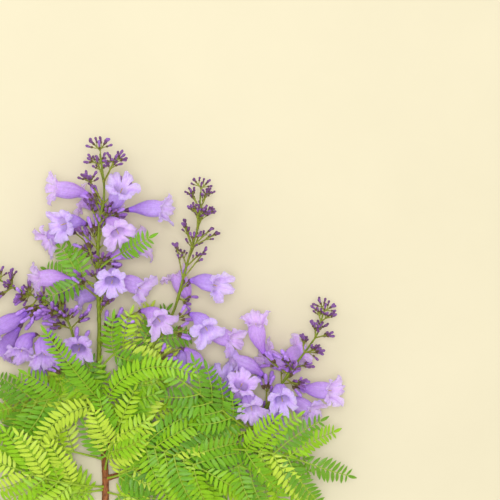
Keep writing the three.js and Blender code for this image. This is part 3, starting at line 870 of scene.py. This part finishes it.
# A bloom is one closed sheet: up the tube's outside, out along the lobes, back on their inside and down the
# throat to the fifth ring.
def bloomShape(place, rng, tint):
    columns = petal["columns"]
    j = np.arange(columns)
    per = columns // 5
    lobe, phi = j // per, (j % per) / (per / 2) - 1
    turn = bloomSize["start"] + 360 * j / columns
    s = np.linspace(0.04, 1, petal["tube"])
    q = np.linspace(0, 1, petal["lobe"])[1:, None]
    outer, inner, caps, mouth = tubeWalls(place, s, turn)
    limb, lining = lobeSheets(mouth, lobe, phi, turn, q, rng)
    grid = np.concatenate([outer, limb, lining[::-1], inner[:3:-1]])
    points = np.concatenate([grid.reshape(-1, 3), caps])
    quads, triangles = gridFaces(len(grid), columns)
    deepest = tint * petal["shades"]
    return points, quads, triangles, petalShades(s, q, phi, turn, rng).ravel() + deepest, deepest


# Calyx: a small cup whose rim is cut into five teeth, with the tube standing in it.
calyxCup = {
    "columns": 20, "shares": [-0.05, 0.0, 0.04, 0.08, 0.12], "radii": [0.62, 1.3, 1.85, 2.1, 2.2],
    "teeth": 0.8, "thick": 0.35,
}


# Rings go up the cup's outside and back down its inside as a thin wall.
def calyxShape(place, paint):
    columns = calyxCup["columns"]
    centre, along, right, up = tubeStations(place, np.array(calyxCup["shares"]), 0.02)
    turn = roundTurns(columns)
    out = spokes(right, up, turn)
    outer = centre[:, None] + out * np.array(calyxCup["radii"])[:, None, None]
    teeth = calyxCup["teeth"] * np.abs(np.cos(2.5 * turn)) - 0.2
    outer[-1] += along[-1] * teeth[:, None]
    inner = outer[::-1] - out[::-1] * calyxCup["thick"]
    grid = np.concatenate([outer, inner[:3]])
    points = np.concatenate([grid.reshape(-1, 3), [centre[0] - along[0] * 0.2, centre[2]]])
    quads, triangles = gridFaces(len(grid), columns)
    return points, quads, triangles, paint, paint


# Stamens lie along the upper wall and a bearded one along the lower: each one's turn round the tube, how
# far off its middle it lies, as a share of the radius, and how far up it comes. They start at a share of
# the tube.
stamen = {"columns": 6, "start": 0.3, "radii": [0.2] * 7 + [0.4, 0.3], "anther": 2, "beard": 1.3}
stamens = ((62, 0.55, 0.86), (80, 0.5, 0.93), (100, 0.5, 0.94), (118, 0.55, 0.87), (-90, 0.45, 1.03))


# Lines along the tube that end in an anther. The bearded one comes out past the mouth.
def stamenShape(place, rng):
    lines, radii = [], []
    rows, columns = len(stamen["radii"]), stamen["columns"]
    for turn, reach, far in stamens:
        s = np.linspace(stamen["start"], min(far, 1.0), rows)
        centre, along, right, up = tubeStations(place, s)
        r = np.interp(s, tubeShares, tubeRadii) * reach * (1.1 - 0.3 * s)
        line = centre + off(right, up, np.full(rows, turn + rng.uniform(-6, 6))) * r[:, None]
        beyond = max(0, far - 1) * bloomSize["tube"] * ((s - stamen["start"]) / 0.7) ** 2
        lines.append(line + along * beyond[:, None])
        radii.append(np.array(stamen["radii"]) * (stamen["beard"] if turn < 0 else 1))
    p, quads, triangles = tubes(np.array(lines), np.array(radii), columns)
    anther = (np.arange(rows - 1) >= rows - 1 - stamen["anther"]).astype(int)
    paint = np.tile(anther.repeat(columns), len(stamens))
    return p, quads, triangles, paint, np.tile(np.repeat([0, 1], columns), len(stamens))


# Petal colours run in steps from the tube's violet to the lobes' lavender. The first three tints are dealt
# out, and the left head's blooms are all in the deeper fourth, which is painted shade.
petalTints = [
    ((152, 95, 210), (212, 179, 255)),
    ((156, 97, 210), (216, 179, 254)),
    ((144, 94, 214), (205, 176, 255)),
    # the fourth, deeper tint: painted shade for the left head's blooms
    ((134, 84, 196), (192, 156, 240)),
]


# Blooms are one piece for each stalk, and their stamens and calyces one piece for all.
def makeBlooms(places):
    materials = []
    look = dict(gloss=0.55, relief=0.35, soft=0.65, depth=0.0026)
    for tint, (deep, pale) in enumerate(petalTints):
        for k in range(petal["shades"]):
            share = k / (petal["shades"] - 1)
            tone = mix(np.array(deep), np.array(pale), share**0.8)
            materials.append(finish(f"petal_{tint}_{k}", tone, tone * 0.93, 420, **look))
    small = [
        finish("filament", (236, 226, 246), (214, 196, 236), 500, relief=0.1, soft=0.2),
        finish("anther", (226, 206, 150), (190, 162, 110), 900, gloss=0.7),
        finish("calyx_cup", (104, 72, 96), (70, 48, 66), 700, relief=0.2),
    ]
    hearts = []
    rng = np.random.default_rng(21)
    for name, many in places.items():
        shapes = []
        for place in many:
            tint = int(rng.integers(3))
            # The left head's own tint, a painted shade, takes the place of the dealt one.
            shapes.append(bloomShape(place, rng, stalks[name].get("tint", tint)))
            hearts += [stamenShape(place, rng), calyxShape(place, 2)]
        nodes = [f"bloom_{name}_{k + 1:02d}" for k in range(len(many))]
        makePiece(f"blooms_{name}", shapes, materials, nodes, smooth=60)
    makePiece("bloom_hearts", hearts, small)


# Leaves: the stem or stalk that each springs from and where on it, its heading and rise, how these turn to
# its tip, its length, how many pairs of pinnae it has and from what share on, the longest pinna and how far
# it arches, and which of the tilts keeps each pinna clear in the part.
leafTerms = (
    "on", "at", "head", "rise", "turn", "droop", "length", "pairs", "first", "pinna", "arch", "tilts",
)
tiltSteps = (0, 14, -14, 28, -28, 42, -42)
leaves = {
    "leaf_low_right": ("shoot_right", 0.42, -12, 30, -22, -50, 96, 3, 0.34, 64, 24, "0000000"),
    "leaf_arching": ("shoot_right", 0.5, 104, 44, 24, -30, 36, 1, 0.9, 112, -100, "013"),
    "leaf_mid_right": ("main_stem", 0.93, 53, 15, -60, -40, 66, 2, 0.34, 40, 22, "31220"),
    "leaf_between": ("far_right", 0.15, 138, 48, 8, -66, 84, 2, 0.34, 34, 22, "05010"),
    "leaf_left": ("left", 0.03, 190, 22, 6, -60, 70, 2, 0.3, 44, 22, "03000"),
    "leaf_low_left": ("main_stem", 0.36, 160, 29, 16, -70, 92, 3, 0.34, 52, 22, "0000001"),
    "leaf_foot_left": ("main_stem", 0.13, 168, 42, -8, -60, 90, 2, 0.4, 50, 22, "01010"),
    "leaf_front": ("main_stem", 0.27, 75, 50, -10, -50, 60, 2, 0.34, 42, 22, "01300"),
    "leaf_foot_right": ("shoot_far_right", 0.3, 0, 24, -26, -55, 80, 2, 0.4, 50, 22, "00101"),
    "leaf_far_right": ("shoot_far_right", 0.93, 9, 48, -34, -72, 88, 2, 0.34, 54, 22, "30000"),
    "leaf_far_low": ("shoot_far_right", 0.78, -14, 20, -20, -40, 78, 2, 0.34, 44, 22, "01000"),
    "leaf_small_left": ("centre", 0.37, 150, 4, 20, -20, 26, 1, 0.6, 36, 30, "102"),
    "leaf_small_right": ("centre", 0.46, 44, 2, -20, 10, 26, 0, 0.97, 44, 20, "3"),
}

# Younger leaves between the part's own, on the same stems and within their reach.
youngLeaves = {
    "young_low": ("main_stem", 0.5, 28, 36, -10, -60, 58, 3, 0.3, 34, 20, "0000000"),
    "young_left": ("main_stem", 0.62, 140, 40, 20, -70, 54, 3, 0.3, 32, 20, "0000000"),
    "young_foot": ("main_stem", 0.2, 20, 46, 10, -80, 52, 2, 0.36, 34, 20, "00000"),
    "young_mid": ("shoot_right", 0.75, 70, 30, -20, -50, 44, 3, 0.3, 28, 18, "0000000"),
    "young_far": ("shoot_far_right", 0.55, 62, 34, -16, -56, 62, 3, 0.3, 36, 20, "0000000"),
    "young_near": ("shoot_far_right", 0.5, -40, 20, -10, -50, 46, 2, 0.3, 36, 20, "00000"),
    "young_top": ("shoot_left", 0.6, 96, 34, 20, -50, 36, 2, 0.36, 26, 18, "00000"),
    "young_west": ("main_stem", 0.11, 186, 26, -8, -50, 46, 3, 0.3, 28, 20, "0000000"),
    "young_east": ("main_stem", 0.09, -8, 34, 4, -60, 40, 2, 0.36, 26, 20, "00000"),
}

# Which piece the leaflets join, by what their leaf springs from.
leafSprays = {
    "main_stem": "left", "shoot_left": "left", "left": "left", "centre": "left",
    "shoot_right": "middle", "shoot_far_right": "right", "far_right": "right",
}

# Leaflets: their rows of points, how often a pair stands, their width as a share of their length, their
# fold at the midrib and their roll round it; then ranges for how far they lean from the pinna, lift off it
# and sag, and the last one's share of the full length. tooth is the length of one tooth of the part's
# pinnae. Greens, each with its dark, are dealt out by pinna: deep ones as painted shade on leaves among the
# blooms, and pale ones as painted light on leaves that point left, past the given heading.
leaf = {
    "stations": 7, "every": 4.4, "width": 0.35, "fold": 0.25, "roll": 0.26, "lean": (58, 70),
    "lift": (-0.22, 0.12), "sag": 0.1, "sags": (-0.3, 1.2), "last": 0.75, "tooth": 13.5,
    # deep: greens that paint shade among the blooms; pale and the heading after them: greens that paint
    # light
    "deep": (1, 3, 5), "pale": (0, 2, 4), "paintedLightHeading": 130, "dark": 0.45,
}
leafletBow = np.array([0.5, 0.84, 0.98, 1.0, 0.88, 0.62, 0.24])
leafGreens = [
    ((134, 184, 22), (106, 156, 14)), ((112, 166, 24), (84, 136, 16)), ((156, 194, 34), (126, 170, 22)),
    ((92, 144, 28), (68, 116, 18)), ((180, 206, 60), (150, 184, 38)), ((104, 160, 30), (78, 130, 20)),
]


# An arch of straight steps from a foot, each turned and lowered on from the last, none below a height.
def archOf(foot, head, rise, length, turn, droop, steps, low):
    points = [foot]
    for i in range(steps):
        share = i / steps
        points.append(points[-1] + heading(head + turn * share, rise + droop * share) * length / steps)
    points = np.array(points)
    keepAbove(points, low)
    return points


# Leaflets in pairs along a pinna, and one at its tip: shorter at both ends of the pinna, each half width a
# rounded bow along the leaflet, folded up a little from its midrib, as a closed ring of four points.
def leafletShape(rib, length, rng, green):
    count = max(4, int(length / leaf["every"]))
    share = (np.arange(count) + 0.6) / count
    at, along = curveAt(rib, share), curveAlong(rib, share)
    right, up = sides(along)
    roll = rng.normal(0, leaf["roll"])
    right, up = right * math.cos(roll) + up * math.sin(roll), up * math.cos(roll) - right * math.sin(roll)
    reach = leafletLength * np.minimum(1, 0.55 + 1.6 * share) * (1 - 0.45 * share**3)
    feet, ways, ups, long = [], [], [], []
    for side in (1, -1):
        lean = np.radians(rng.uniform(*leaf["lean"], count))[:, None]
        lift = rng.uniform(*leaf["lift"], (count, 1))
        way = along * np.cos(lean) + right * side * np.sin(lean) + up * lift
        feet.append(at + right * side * 0.35)
        ways.append(unit(way))
        ups.append(up)
        long.append(reach * rng.uniform(0.9, 1.04, count))
    feet.append(curveAt(rib, 1.0)[None])
    ways.append(curveAlong(rib, 1.0)[None])
    ups.append(up[-1:])
    long.append(np.array([leafletLength * leaf["last"]]))
    feet, ways, ups, long = (np.concatenate(v) for v in (feet, ways, ups, long))
    n = len(feet)
    across = unit(np.cross(ups, ways) + rng.normal(0, 0.12, (n, 3)))
    over = unit(np.cross(ways, across))
    s = np.linspace(0, 1, leaf["stations"])
    half = leafletBow * (long * leaf["width"] / 2)[:, None]
    sag = leaf["sag"] * s**2 * long[:, None] * rng.uniform(*leaf["sags"], (n, 1))
    line = feet[:, None] + ways[:, None] * (s * long[:, None])[..., None] - over[:, None] * sag[..., None]
    keepAbove(line, 0.4 + half * np.abs(across[:, 2:]))
    wide = across[:, None] * half[..., None]
    lift = over[:, None] * (half * leaf["fold"])[..., None]
    top = line + over[:, None] * 0.1
    below = line - over[:, None] * 0.12
    grid = np.stack([line + wide + lift, below, line - wide + lift, top], axis=2)
    keepAbove(grid, floorGap)
    caps = np.stack([line[:, 0] - ways * 0.1, line[:, -1] + ways * (0.07 * long)[:, None]], axis=1)
    points = np.concatenate([grid.reshape(n, -1, 3), caps], axis=1).reshape(-1, 3)
    quads, triangles = gridFaces(leaf["stations"], 4, n)
    return points, quads, triangles, green, green


# Where pinnae stand on a leaf: the part's own pairs with their tilts and one at the tip, and a younger pair
# past each. A row is its share of the leaf stalk, its share of the pairs, its side, tilt and length, and
# whether the part has it.
def pinnaStands(name, terms, rng):
    stands = []
    tilts = iter(terms["tilts"])
    pairs = terms["pairs"]
    for i in range(pairs + 1):
        share = i / max(1, pairs)
        at = 0.97 if i == pairs else mix(terms["first"], 0.94, share)
        for side in (0,) if i == pairs else (1, -1):
            tilt = tiltSteps[int(next(tilts))]
            size = terms["pinna"] * (0.8 if side == 0 else 1 - 0.25 * abs(share - 0.35))
            stands.append((at, share, side, tilt, size, name in leaves))
            if side and name != "leaf_arching":
                between = share + 0.5 / pairs
                near = mix(terms["first"], 0.94, between)
                lean = tilt * 0.5 + rng.uniform(-12, 12)
                stands.append((near, between, side, lean, size * rng.uniform(0.8, 1.0), False))
    return stands


# The green of a pinna's leaflets: a deeper one as painted shade on leaves among the blooms, and a paler one
# as painted light on leaves that point left.
def greenOf(terms, rng):
    green = int(rng.integers(len(leafGreens)))
    if terms["on"] in stalks:
        # painted shade: a deeper green on leaves among the blooms
        return leaf["deep"][green // 2]
    if terms["head"] > leaf["paintedLightHeading"]:
        # painted light: a paler green on leaves that point left
        return leaf["pale"][green // 2]
    return green


# Leaf stalks arch over, pinnae leave them in pairs and one ends each, and leaflets stand along the pinnae. A
# pinna that only the scene has is left out where a bloom is in its way.
def makeLeaves(room):
    rng = np.random.default_rng(77)
    sprays, ribs, nodes = {}, [], {}
    t, u = np.linspace(0, 1, 40), np.linspace(0, 1, 24)
    stalkRadii = np.interp(t, [0, 0.04, 0.1, 1], [1.7, 1.5, 1.0, 0.55])
    ribRadii = np.interp(u, [0, 0.05, 1], [0.85, 0.66, 0.4])
    for name, values in {**leaves, **youngLeaves}.items():
        terms = dict(zip(leafTerms, values))
        spray = leafSprays[terms["on"]]
        shapes = sprays.setdefault(spray, [])
        if name in leaves:
            nodes.setdefault(spray, []).append(name)
        source = stems.get(terms["on"]) or stalks[terms["on"]]
        foot = curveAt(source["points"], terms["at"])
        course = [terms[key] for key in ("head", "rise", "length", "turn", "droop")]
        points = archOf(foot, *course, 5, 1.2)
        ribs.append((*tubes(curveAt(points, t)[None], stalkRadii[None], 8), 0, 0))
        for at, share, side, tilt, length, kept in pinnaStands(name, terms, rng):
            foot, along = curveAt(points, at), curveAlong(points, at)
            head = math.degrees(math.atan2(along[1], along[0])) + side * (58 - 12 * share)
            rise = math.degrees(math.asin(along[2])) * 0.4 + 6 + tilt
            teeth = max(3, int(math.floor(length / leaf["tooth"] + 0.5)))
            foot = foot + along * 0.5 * side
            rib = archOf(foot, head, rise, length, -side * terms["arch"], -34, teeth, 1.0)
            line = curveAt(rib, u)
            if not kept and not isClear(line[4:], room):
                continue
            ribs.append((*tubes(line[None], ribRadii[None], 6), 0, 0))
            shapes.append(leafletShape(rib, length, rng, greenOf(terms, rng)))
    materials = []
    look = dict(gloss=0.38, relief=0.2, soft=0.3, depth=0.0015, shine=0.2)
    for k, (tone, dark) in enumerate(leafGreens):
        dark = mix(np.array(tone), np.array(dark), leaf["dark"])
        materials.append(finish(f"leaflet_{k}", tone, dark, 700, **look))
    for spray, shapes in sprays.items():
        makePiece("leaflets_" + spray, shapes, materials, nodes[spray])
    makePiece("leaf_stalks", ribs, [finish("leaf_stalk", (146, 174, 48), (122, 152, 34), 600)])


makeStudio()
print("studio")
makeStems()
places, room = makeStalks()
makeBlooms(places)
makeLeaves(room)
